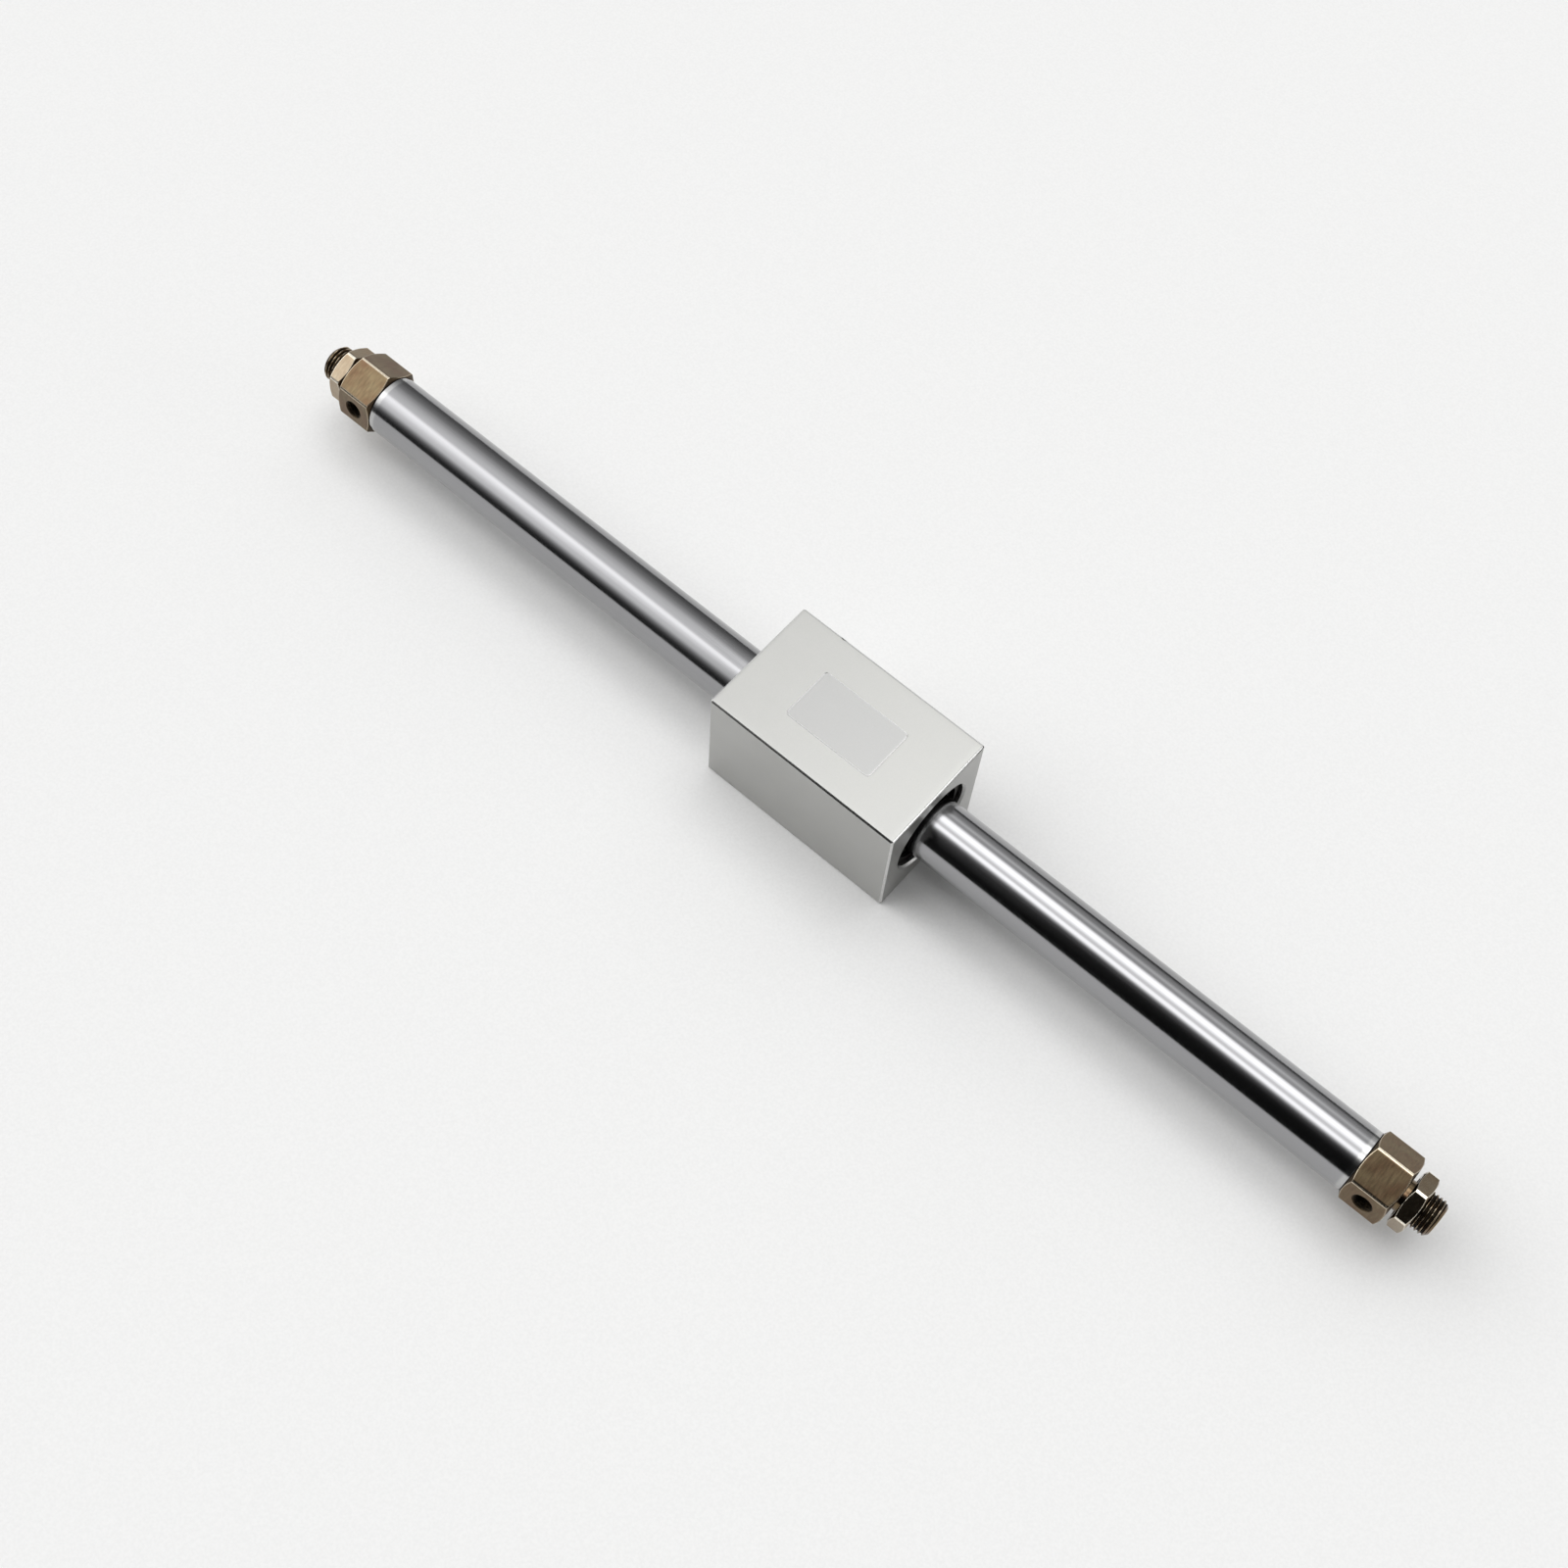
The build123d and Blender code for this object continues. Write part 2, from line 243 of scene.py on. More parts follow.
floor_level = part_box("slider_body")[0].z / MM - FLOOR_GAP
floor_mesh = bpy.data.meshes.new("floor")
corners = [(-1, -1), (1, -1), (1, 1), (-1, 1)]
floor_corners = [(x * FLOOR_HALF * MM, y * FLOOR_HALF * MM, floor_level * MM) for x, y in corners]
floor_mesh.from_pydata(floor_corners, [], [(0, 1, 2, 3)])
floor_mesh.materials.append(paper)
floor = bpy.data.objects.new("floor", floor_mesh)
scene.collection.objects.link(floor)
print("floor at", round(floor_level, 2), "mm")

# %% [markdown]
# Real metal shows how it was made: long lines where it was drawn or ground, rings where a lathe
# turned it, soft patches where hands and oil have been, and bright edges where plating has rubbed
# off, with a painted highlight on them. Painted shade darkens thread roots, holes, recesses and seams.
# Each of these is one node group, placed in every material that needs it with its own numbers.

# %% Node groups for the marks on metal
BREAKUP_HIGH = 0.6          # the noise above which the edge marks are whole, painted highlight and painted shade alike
BREAKUP_SHARE = 0.7         # of the edge marks, painted highlight and painted shade, which the noise leaves everywhere


def stretched_pattern_group():
    """Noise whose grain is as long and as wide as the scales say, in cells per metre."""
    tree, given, result = new_group(
        "stretched_pattern", {"Along": 100.0, "Across": 100.0, "Detail": 3.0}, ["Value"]
    )
    scales = {0: given.outputs["Along"], 1: given.outputs["Across"], 2: given.outputs["Across"]}
    scale = place(tree, "CombineXYZ", scales)
    place_on_piece = place(tree, "TexCoord").outputs["Object"]
    stretched = place(
        tree, "VectorMath", {0: place_on_piece, 1: scale.outputs[0]}, operation="MULTIPLY"
    )
    noise = place(
        tree, "TexNoise",
        {"Vector": stretched.outputs[0], "Scale": 1.0, "Detail": given.outputs["Detail"]},
    )
    tree.links.new(fitted(tree, noise.outputs[0], NOISE_LOW, NOISE_HIGH), result.inputs[0])
    return tree


def lathe_marks_group():
    """Fine rings round the X axis, on a turned face as on a turned side, that waver a little."""
    tree, given, result = new_group("lathe_marks", {"Rings": 5000.0}, ["Value"])
    on_piece = place(tree, "TexCoord").outputs["Object"]
    part = place(tree, "SeparateXYZ", {0: on_piece}).outputs
    out = math(tree, "SQRT", math(
        tree, "ADD", math(tree, "POWER", part[1], 2.0), math(tree, "POWER", part[2], 2.0)
    ))
    along = math(tree, "MULTIPLY", part[0], given.outputs["Rings"])
    outward = math(tree, "MULTIPLY", out, given.outputs["Rings"])
    round_share = math(tree, "ARCTAN2", part[2], part[1])
    cell = place(tree, "CombineXYZ", {0: along, 1: outward, 2: round_share})
    noise = place(tree, "TexNoise", {"Vector": cell.outputs[0], "Scale": 1.0, "Detail": 2.0})
    tree.links.new(fitted(tree, noise.outputs[0], NOISE_LOW, NOISE_HIGH), result.inputs[0])
    return tree


def wear_highlight_and_shade_group():
    """What the mesh's edge attribute says, broken up by noise: above 0 it is an edge that stands out,
    rubbed bright with a painted highlight, and below 0 painted shade in a thread's root, a hole or a
    seam."""
    tree, given, result = new_group("wear_highlight_and_shade", {"Breakup": 2500.0}, ["Wear", "Grime"])
    edge = place(tree, "Attribute", attribute_name="edge").outputs["Fac"]
    on_piece = place(tree, "TexCoord").outputs["Object"]
    noise = place(
        tree, "TexNoise", {"Vector": on_piece, "Scale": given.outputs["Breakup"], "Detail": 2.0}
    )
    broken = fitted(tree, noise.outputs[0], NOISE_LOW, BREAKUP_HIGH, BREAKUP_SHARE, 1.0)
    wear_and_painted_light = math(tree, "MULTIPLY", edge, broken, clamp=True)
    shaded = math(tree, "MULTIPLY", edge, math(tree, "MULTIPLY", broken, -1.0), clamp=True)
    tree.links.new(wear_and_painted_light, result.inputs[0])
    tree.links.new(shaded, result.inputs[1])
    return tree


stretched_pattern = stretched_pattern_group()
lathe_marks = lathe_marks_group()
wear_highlight_and_shade = wear_highlight_and_shade_group()
print("node groups:", [group.name for group in bpy.data.node_groups])


# %% [markdown]
# One recipe serves every finish. Patches blend two shades of the piece's colour, the marks darken
# it slightly and stand up as bump, both vary the roughness, and edges rubbed bare take a third
# colour with a painted highlight, while painted shade takes a near black one.
# What changes from piece to piece is only the numbers, so they are given by name for each finish.

# %% The recipe for a finish
def grouped(tree, group, **values):
    """The outputs of a shader node group with the given input values."""
    node = tree.nodes.new("ShaderNodeGroup")
    node.node_tree = group
    for name, value in values.items():
        node.inputs[name].default_value = value
    return node.outputs


# A near black colour for painted shade in thread roots, holes, recesses and seams.
PAINTED_SHADE_COLOUR = (0.012, 0.010, 0.008, 1)
PAINTED_SHADE_ROUGHNESS = 0.7


def finish(name, shade, light, worn_and_painted_light=None, marks=None, rings=None, patches=(60, 60), metallic=1.0,
           roughness=(0.3, 0.4), worn_and_highlit_roughness=0.22, mark_shade=0.1, depth=0.002):
    """A procedural material. shade and light are the two colours that the patches blend, and worn
    the colour of bare edges, rubbed bright with a painted highlight; where the edge value is below
    0, painted shade takes a near black colour instead. marks are the grain's scales along and across
    the piece, or rings the number of lathe rings per metre. mark_shade is how much the marks darken
    the colour, and depth their height in millimetres."""
    material = bpy.data.materials.new(name)
    material.use_nodes = True
    tree = material.node_tree
    tree.nodes.clear()
    patch = grouped(tree, stretched_pattern, Along=patches[0], Across=patches[1])[0]
    if rings:
        mark = grouped(tree, lathe_marks, Rings=rings)[0]
    else:
        mark = grouped(tree, stretched_pattern, Along=marks[0], Across=marks[1])[0]
    colour = blended(tree, patch, (*shade, 1), (*light, 1))
    darkened = fitted(tree, mark, 0, 1, 1 - mark_shade, 1)
    colour = blended(tree, 1.0, colour, darkened, blend_type="MULTIPLY")
    uneven = math(tree, "MULTIPLY_ADD", mark, 0.5, math(tree, "MULTIPLY", patch, 0.5))
    gloss = fitted(tree, uneven, 0, 1, *roughness)
    if worn_and_painted_light:
        wear_and_painted_light, painted_shade = grouped(tree, wear_highlight_and_shade)
        colour = blended(tree, wear_and_painted_light, colour, (*worn_and_painted_light, 1))
        colour = blended(tree, painted_shade, colour, PAINTED_SHADE_COLOUR)
        gloss = fitted(tree, wear_and_painted_light, 0, 1, gloss, worn_and_highlit_roughness)
        gloss = fitted(tree, painted_shade, 0, 1, gloss, PAINTED_SHADE_ROUGHNESS)
        metallic = fitted(tree, math(tree, "MAXIMUM", wear_and_painted_light, painted_shade), 0, 1, metallic, 1.0)
    bump = place(tree, "Bump", {"Strength": 1.0, "Distance": depth * MM, "Height": mark})
    shader = place(tree, "BsdfPrincipled", {
        "Base Color": colour,
        "Metallic": metallic,
        "Roughness": gloss,
        "Normal": bump.outputs[0],
    })
    place(tree, "OutputMaterial", {"Surface": shader.outputs[0]})
    return material


# %% [markdown]
# The finishes themselves. Most are metal: the tube's ground stainless steel, the warm plating of
# the covers and nuts, the satin anodised block, and the turned and rolled steels inside. The soft
# ones are rubber, urethane, bearing plastic and oiled felt.

# %% Mix the finishes
# Each finish's third colour is for edges rubbed bare and carries a painted highlight; the near black
# colour of painted shade is shared by all.
finishes = {
    "ground_steel": finish(
        "ground_steel", shade=(0.315, 0.315, 0.322), light=(0.345, 0.345, 0.354), marks=(14, 2600),
        worn_and_painted_light=(0.50, 0.50, 0.495), patches=(16, 120), roughness=(0.11, 0.17), worn_and_highlit_roughness=0.16,
        mark_shade=0.06, depth=0.0006,
    ),
    "cover_bronze": finish(
        "cover_bronze", shade=(0.150, 0.093, 0.055), light=(0.184, 0.141, 0.082),
        worn_and_painted_light=(0.88, 0.78, 0.62), marks=(2400, 420), patches=(240, 240), roughness=(0.13, 0.21),
        worn_and_highlit_roughness=0.22, mark_shade=0.3, depth=0.0015,
    ),
    "nut_nickel": finish(
        "nut_nickel", shade=(0.325, 0.245, 0.165), light=(0.39, 0.322, 0.232),
        worn_and_painted_light=(0.95, 0.90, 0.78), marks=(2600, 700), patches=(300, 300), roughness=(0.12, 0.19),
        worn_and_highlit_roughness=0.22, mark_shade=0.15, depth=0.0006,
    ),
    "anodised_block": finish(
        "anodised_block", shade=(0.432, 0.432, 0.416), light=(0.457, 0.457, 0.442),
        worn_and_painted_light=(0.60, 0.60, 0.59), marks=(5200, 7000), patches=(70, 90), metallic=0.62,
        roughness=(0.28, 0.36), worn_and_highlit_roughness=0.12, mark_shade=0.07, depth=0.002,
    ),
    "magnet_nickel": finish(
        "magnet_nickel", shade=(0.60, 0.585, 0.55), light=(0.68, 0.665, 0.63), rings=2500,
        roughness=(0.16, 0.26), mark_shade=0.05,
    ),
    "zinc_steel": finish(
        "zinc_steel", shade=(0.50, 0.49, 0.40), light=(0.62, 0.61, 0.55), rings=5000,
        patches=(220, 220), roughness=(0.3, 0.42), mark_shade=0.12,
    ),
    "shaft_steel": finish(
        "shaft_steel", shade=(0.60, 0.60, 0.61), light=(0.68, 0.68, 0.69), rings=9000,
        roughness=(0.14, 0.24), mark_shade=0.08,
    ),
    "piston_brass": finish(
        "piston_brass", shade=(0.66, 0.50, 0.24), light=(0.76, 0.61, 0.33), rings=6500,
        patches=(160, 160), roughness=(0.2, 0.32), mark_shade=0.1,
    ),
    "seal_rubber": finish(
        "seal_rubber", shade=(0.020, 0.020, 0.021), light=(0.032, 0.032, 0.033),
        marks=(3500, 3500), metallic=0.0, roughness=(0.38, 0.55), mark_shade=0.2, depth=0.004,
    ),
    "bumper_urethane": finish(
        "bumper_urethane", shade=(0.62, 0.42, 0.12), light=(0.74, 0.55, 0.2),
        marks=(1200, 1200), metallic=0.0, roughness=(0.24, 0.38), mark_shade=0.08, depth=0.003,
    ),
    "wear_plastic": finish(
        "wear_plastic", shade=(0.72, 0.67, 0.54), light=(0.80, 0.76, 0.65), rings=3500,
        metallic=0.0, roughness=(0.38, 0.52), mark_shade=0.07, depth=0.004,
    ),
    "lube_felt": finish(
        "lube_felt", shade=(0.030, 0.027, 0.023), light=(0.075, 0.07, 0.06),
        marks=(2200, 5200), metallic=0.0, roughness=(0.6, 0.9), mark_shade=0.5, depth=0.03,
    ),
    # Near black: partly a black phosphate finish, partly painted shade for the spacer in the dark
    # recess.
    "spacer_steel": finish(
        "spacer_steel", shade=(0.020, 0.020, 0.021), light=(0.038, 0.038, 0.040), rings=3000,
        patches=(300, 300), roughness=(0.34, 0.5), mark_shade=0.15,
    ),
    "ring_steel": finish(
        "ring_steel", shade=(0.030, 0.028, 0.026), light=(0.055, 0.051, 0.047),
        marks=(4200, 4200), patches=(300, 300), roughness=(0.36, 0.52), mark_shade=0.2,
    ),
}
label_film = finish(
    "label_film", shade=(0.405, 0.405, 0.398), light=(0.428, 0.428, 0.421), marks=(2600, 3600),
    worn_and_painted_light=(0.345, 0.345, 0.34), metallic=0.55, roughness=(0.28, 0.36), mark_shade=0.05, depth=0.002,
)
print("finishes:", len(finishes) + 1)

# %% [markdown]
# Nearly every piece here is a surface round an axis. A lathe operator would draw a profile, so a
# profile of corners comes first, each with a small rounding, because no real edge is perfectly
# sharp and a rounded one catches the light. Then a grid of points is carried round the axis, and
# one skin is laid over the grid.

# %% Helpers for shapes
CORNER_POINTS = 5
WELD_DISTANCE = 0.0002
SHARP_ANGLE = np.radians(35)
FULL_PAINTED_SHADE = -1.0           # the edge attribute where painted shade is darkest


def profile(corners, step, closed=False):
    """A path through (along, out, rounding) corners, and any further columns, in millimetres.

    Each corner becomes five points of the curve (1-u)^2 start + 2u(1-u) corner + u^2 end, where
    start and end lie on its two runs, the rounding's length away. Straight runs are divided at
    even steps. The columns are the place along, the distance out, the edge value, which is 1 on an
    outward corner, rubbed bare with a painted highlight, and 0 on the runs, and then the further
    columns, mixed along the runs."""
    corners = np.array(corners, float)
    point = corners[:, :2]
    before = np.roll(point, 1, axis=0) - point
    after = np.roll(point, -1, axis=0) - point
    rounding = corners[:, 2:3]
    start = point + before / np.linalg.norm(before, axis=1, keepdims=True) * rounding
    end = point + after / np.linalg.norm(after, axis=1, keepdims=True) * rounding
    u = np.linspace(0, 1, CORNER_POINTS)[None, :, None]
    path = (1 - u) ** 2 * start[:, None] + 2 * u * (1 - u) * point[:, None] + u ** 2 * end[:, None]
    outward = before[:, 0] * after[:, 1] - before[:, 1] * after[:, 0] > 0
    wear_and_painted_light = np.sin(np.pi * u[..., 0]) * (outward & (rounding[:, 0] > 0))[:, None]
    columns = np.column_stack([
        path.reshape(-1, 2), wear_and_painted_light.reshape(-1), np.repeat(corners[:, 3:], u.size, axis=0)
    ])
    if closed:
        columns = np.vstack([columns, columns[:1]])
    length = np.linalg.norm(np.diff(columns[:, :2], axis=0), axis=1)
    travelled = np.concatenate([[0], np.cumsum(length)])
    even = np.arange(step / 2, travelled[-1] - step / 2, step)
    stops = np.union1d(travelled, even)
    return np.column_stack([np.interp(stops, travelled, column) for column in columns.T])


def round_axis(along, out, turn, axis=(1, 0, 0), up=(0, 0, 1), origin=(0, 0, 0)):
    """Points at a place along an axis, a distance out from it and an angle round it.

    The point is origin + along * axis + out * (cos(turn) * front + sin(turn) * up), where front is
    axis x up. On the X axis that puts angle 0 in front, at -Y, and a quarter turn on top."""
    axis, up = np.array(axis, float), np.array(up, float)
    facing = np.cross(axis, up)
    along, out, turn = np.broadcast_arrays(along, out, turn)
    across = (out * np.cos(turn))[..., None] * facing + (out * np.sin(turn))[..., None] * up
    return np.array(origin) + along[..., None] * axis + across


def skin(name, points, wear_and_painted_light=0.0, closed=False):
    """A mesh over a grid of points, rows by columns, in millimetres, with faces that point outwards
    when the rows run forwards along the outside. Each row is a closed loop. closed joins the last
    row to the first, as on a ring; otherwise the end rows shrink to one point each."""
    rows, columns = points.shape[:2]
    index = np.arange(rows * columns).reshape(rows, columns)
    after = np.roll(index, -1, axis=0)
    faces = np.stack([index, after, np.roll(after, -1, axis=1), np.roll(index, -1, axis=1)], axis=-1)
    faces = faces if closed else faces[:-1]
    mesh = bpy.data.meshes.new(name)
    mesh.from_pydata((points.reshape(-1, 3) * MM).tolist(), [], faces.reshape(-1, 4).tolist())
    edge = mesh.attributes.new("edge", "FLOAT", "POINT")
    edge.data.foreach_set("value", np.broadcast_to(wear_and_painted_light, (rows, columns)).astype("f").ravel())
    weld(mesh)
    piece = bpy.data.objects.new(name, mesh)
    scene.collection.objects.link(piece)
    smooth(mesh)
    return piece


def weld(mesh):
    """Merges points that coincide, so that seams and poles are closed."""
    work = bmesh.new()
    work.from_mesh(mesh)
    bmesh.ops.remove_doubles(work, verts=work.verts, dist=WELD_DISTANCE * MM)
    work.to_mesh(mesh)
    work.free()


def smooth(mesh):
    """Smooth shading, with edges that turn more than the sharp angle left crisp."""
    mesh.shade_smooth()
    mesh.set_sharp_from_angle(angle=SHARP_ANGLE)


def cut(piece, *tools):
    """Takes the tools' shapes out of the piece, and removes the tools. Every shape here is closed,
    which this solver needs, and it carries each tool's edge attribute over to the cut walls."""
    for tool in tools:
        change = piece.modifiers.new("cut", "BOOLEAN")
        change.operation = "DIFFERENCE"
        change.solver = "MANIFOLD"
        change.object = tool
    finished = piece.evaluated_get(bpy.context.evaluated_depsgraph_get())
    mesh = bpy.data.meshes.new_from_object(finished)
    piece.modifiers.clear()
    piece.data = mesh
    smooth(mesh)
    for tool in tools:
        bpy.data.objects.remove(tool)


def dress(piece, slot, body, *nodes):
    """Gives the piece its finish, hangs it on its body and lets it stand for its CAD nodes."""
    piece.data.materials.clear()
    piece.data.materials.append(finishes[slot])
    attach(piece, body)
    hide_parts(*nodes)
    print(piece.name, "has", len(piece.data.polygons), "faces")


# %% [markdown]
# The tube is a plain ring, 0.8 mm thick, and its finish does most of the work. The CAD mesh has
# flat facets that a mirror finish would show, so it gets a skin with many more columns. Its ends
# are rounded where they meet the head covers, and the seam there is darkened further with painted
# shade. A narrow band next to the seam is painted brighter than the rest, a painted highlight, and
# both go into the edge attribute.

# %% The tube
TUBE_COLUMNS = 256
TUBE_STEP = 12.0
TUBE_WALL = 0.8
TUBE_END_ROUNDING = 0.35
TUBE_BORE_ROUNDING = 0.1
BAND_ROUNDING = 0.4
BAND_LENGTH = 1.6           # the band beside each seam, painted brighter as a highlight
BAND_BLUR = 0.24            # over which the band begins
SEAM_WIDTH = 0.3            # painted shade at the tube's very end, in the seam
SEAM_RUN = 0.4              # from the tube's end to the path's first point past the seam

tube_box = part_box("cylinder_tube")
tube_radius = tube_box[1].z / MM
tube_end = tube_box[1].x / MM
tube_bore = tube_radius - TUBE_WALL
tube_path = profile([
    (-tube_end, tube_radius, TUBE_END_ROUNDING),
    (-tube_end + SEAM_RUN, tube_radius, 0),
    (-tube_end + BAND_LENGTH, tube_radius, BAND_ROUNDING),
    (tube_end - BAND_LENGTH, tube_radius, BAND_ROUNDING),
    (tube_end - SEAM_RUN, tube_radius, 0),
    (tube_end, tube_radius, TUBE_END_ROUNDING),
    (tube_end, tube_bore, TUBE_BORE_ROUNDING),
    (-tube_end, tube_bore, TUBE_BORE_ROUNDING),
], TUBE_STEP, closed=True)
tube_turns = np.arange(TUBE_COLUMNS) * TURN / TUBE_COLUMNS
along, out = tube_path[:, :2].T[..., None]
past_band_edge = np.abs(along) - (tube_end - BAND_LENGTH)
# The edge value: a painted highlight over the band by each seam, and painted shade in the seam.
wear_and_painted_light = 0.5 + 0.5 * np.tanh(past_band_edge / BAND_BLUR)
wear_and_painted_light = np.where(np.abs(along) > tube_end - SEAM_WIDTH, FULL_PAINTED_SHADE, wear_and_painted_light)
tube = skin("tube", round_axis(along, out, tube_turns), wear_and_painted_light, closed=True)
dress(tube, "ground_steel", "cylinder", "cylinder_tube")

# %% [markdown]
# Each head cover is turned from hexagon bar. Its outline round the axis is a hexagon where the bar
# was left alone, and a circle wherever the lathe reached it, so its radius is the smaller of the
# two. A smooth minimum joins them with a tiny rounding. The stud has a real thread: the radius
# falls and rises once for each turn and each pitch, which is a helix.

# %% Helpers for hexagons and threads
CREST_SHARE = 0.125         # of a pitch, flat on a thread's crest
ROOT_SHARE = 0.25           # of a pitch, flat in a thread's root
THREAD_SHARE = 0.613        # of a pitch, the depth of an outside thread
HEX_COLUMNS = 252
CORNER_CROWDING = 0.65      # how much closer the columns stand at a corner than on a flat
BEVEL_DEPTH = 0.2           # taken off each corner of a hexagon
BEVEL_BLUR = 0.01           # over which the mask changes from a flat to a bevel
RIM_WIDTH = 0.16            # of the rim, rubbed bright with a painted highlight, where a flat meets a turned end


def lower_of(first, second, blend=0.03):
    """A smooth minimum: the logarithm of the summed exponentials, blend wide in millimetres."""
    return -blend * np.logaddexp(-first / blend, -second / blend)


def higher_of(first, second, blend=0.03):
    """A smooth maximum, worked out the same way."""
    return blend * np.logaddexp(first / blend, second / blend)


def hex_turns(rise):
    """Angles round a hexagon whose first flat faces the angle rise, crowded at its corners."""
    even = np.arange(HEX_COLUMNS) * TURN / HEX_COLUMNS
    return rise + even + CORNER_CROWDING * np.sin(6 * even) / 6


def hexagon(turn, rise, across_flats):
    """The radius of a hexagon with bevelled corners, and a mask that is 1 on the bevels.

    A flat lies half the width away, and a bevel a little short of the corner. Each distance is
    divided by the cosine of the angle to the middle of its face, and the radius is the smaller."""
    from_flat = (turn - rise + TURN / 12) % (TURN / 6) - TURN / 12
    from_corner = (turn - rise) % (TURN / 6) - TURN / 12
    flat = across_flats / 2 / np.cos(from_flat)
    bevel = (across_flats / np.sqrt(3) - BEVEL_DEPTH) / np.cos(from_corner)
    return lower_of(flat, bevel), 1 / (1 + np.exp((bevel - flat) / BEVEL_BLUR))


def rim_wear_and_highlight(gap, width):
    """1 where two surfaces meet, falling off like a bell curve with the gap between them. It
    marks the painted highlight along a hexagon's rim.
    """
    return np.exp(-(gap / width) ** 2)


def hexagon_wear_and_painted_light(out, flats, bevels, rim, cone):
    """Bevels rubbed bright with a painted highlight, a rim of the given brightness where a flat
    meets the turned cone, also a painted highlight, and the cone's own value, which is negative
    for painted shade."""
    near = rim_wear_and_highlight(out - flats, RIM_WIDTH)
    return np.where(out > flats, np.maximum(bevels, rim * near), rim * near + cone * (1 - near))


def thread_drop(along, turn, pitch):
    """How far a right-handed thread lies below its crest, from 0 to 1: a wave of the phase
    along / pitch + turn / one turn, with flats on its crest and in its root."""
    wave = np.abs(2 * ((along / pitch + turn / TURN) % 1) - 1)
    return np.clip((wave - CREST_SHARE) / (1 - CREST_SHARE - ROOT_SHARE), 0, 1)


# %% [markdown]
# The ports and the load holes are tapped holes: a countersink, a thread, and a plain drilled end.
# The hole is built as a solid of its own, a threaded plug, and taken out of the piece with one
# Boolean. Carving it into the grid would need a far finer grid over the whole piece.

# %% A helper for drilled and tapped holes
HOLE_COLUMNS = 64
PLUG_PROUD = 1.0            # how far a plug stands out of the piece that it is taken out of
TAP_STEP = 0.08
TAP_BLEND = 0.01
MOUTH_PAINTED_SHADE = 0.6           # painted shade on a hole's countersink, from 0 to 1, deepening further down


def plug(name, origin, axis, up, corners, step, tap=None):
    """A solid to take out of a piece, from (depth, radius, rounding) corners along an inward axis.
    tap gives the thread's outer radius, its pitch and the depth where it ends. The wall is marked
    with painted shade, darker further down, which the Boolean carries over to the piece."""
    depth, out = profile(corners, step)[:, :2].T[..., None]
    turns = np.arange(HOLE_COLUMNS) * TURN / HOLE_COLUMNS
    out = np.broadcast_to(out, (len(depth), HOLE_COLUMNS))
    if tap:
        major, pitch, end = tap
        minor = out[np.argmin(np.abs(depth[:, 0] - end)), 0]
        cut_out = minor + (major - minor) * (1 - thread_drop(depth, turns, pitch))
        tapped = (depth > 0) & (depth < end)
        out = np.where(tapped, higher_of(out, cut_out, TAP_BLEND), out)
    # painted shade on the hole's wall, darker with depth
    painted_shade = -np.clip(MOUTH_PAINTED_SHADE + depth, 0, 1)
    return skin(name, round_axis(depth, out, turns, axis, up, origin), painted_shade)


# %% The head covers
HEX_LENGTH = 11.0
HEX_FLATS = 17.0
HEX_FACE_INSET = 0.1
HEX_CHAMFER_ANGLE = np.radians(30)
CHAMFER_MARGIN = 1.0
STUD_RADIUS = 5.0
STUD_LENGTH = 10.0
STUD_PITCH = 1.0
STUD_CHAMFER = 1.2
COVER_RIM = 0.6             # a painted highlight where a cover's flats meet its turned ends, on plating rubbed bright
CONE_PAINTED_SHADE = -0.6           # painted shade on the hexagon's turned ends
CREST_WEAR_AND_HIGHLIGHT = 0.8            # a painted highlight on a thread's crest, on plating rubbed bright
ROOT_PAINTED_SHADE = 2.5            # by which the crest's highlight falls towards the root, where it turns to painted shade
RELIEF_RADIUS = 4.2
RELIEF_LENGTH = 1.4
SPIGOT_RADIUS = 7.45
SPIGOT_LENGTH = 6.0
GROOVE_RADIUS = 6.1
GROOVE_START, GROOVE_END = 1.4, 3.6       # from the spigot's free end
PORT_RISE = np.radians(7)
PORT_INSET = 5.5
PORT_RADIUS = 2.1
PORT_MAJOR = 2.5
PORT_PITCH = 0.8
PORT_THREAD_DEPTH = 5.0
PORT_MOUTH = 2.7
PORT_OVERRUN = 0.5
PASSAGE_RADIUS = 1.5
PASSAGE_OVERRUN = 0.6
PASSAGE_STEP = 1.0

# The cover is drawn in four profiles, with the roundings of their corners and the steps of their runs.
SPIGOT_ROUNDING = 0.3
GROOVE_EDGE_ROUNDING = 0.08
GROOVE_ROOT_ROUNDING = 0.1
HEX_START_ROUNDING = 0.05
CONE_ROUNDING = 0.12
RELIEF_ROUNDING = 0.3
STUD_EDGE_ROUNDING = 0.05
STUD_TIP_ROUNDING = 0.2
SPIGOT_STEP, HEX_STEP, STUD_STEP, TIP_STEP = 1.0, 0.2, 0.09, 0.5
SPIGOT_SEAM = 1.0           # from the spigot's root to where its profile ends
RELIEF_SEAM = 1.0           # from the relief out to where the hexagon's profile ends
TIP_SEAM = 2.0              # from the axis to where the stud's profile ends

stud_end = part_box("head_cover_right")[1].x / MM
hex_end = stud_end - STUD_LENGTH
hex_start = hex_end - HEX_LENGTH
spigot_end = hex_start - SPIGOT_LENGTH


def turned_off_hexagon(start, end, across_flats, face_inset, chamfer_angle):
    """The four profile corners of the cones that take a hexagon's corners off at both ends."""
    face = across_flats / 2 - face_inset
    corner = across_flats / np.sqrt(3) + CHAMFER_MARGIN
    drop = (corner - face) * np.tan(chamfer_angle)
    return [
        (start, face, CONE_ROUNDING),
        (start + drop, corner, 0),
        (end - drop, corner, 0),
        (end, face, CONE_ROUNDING),
    ]


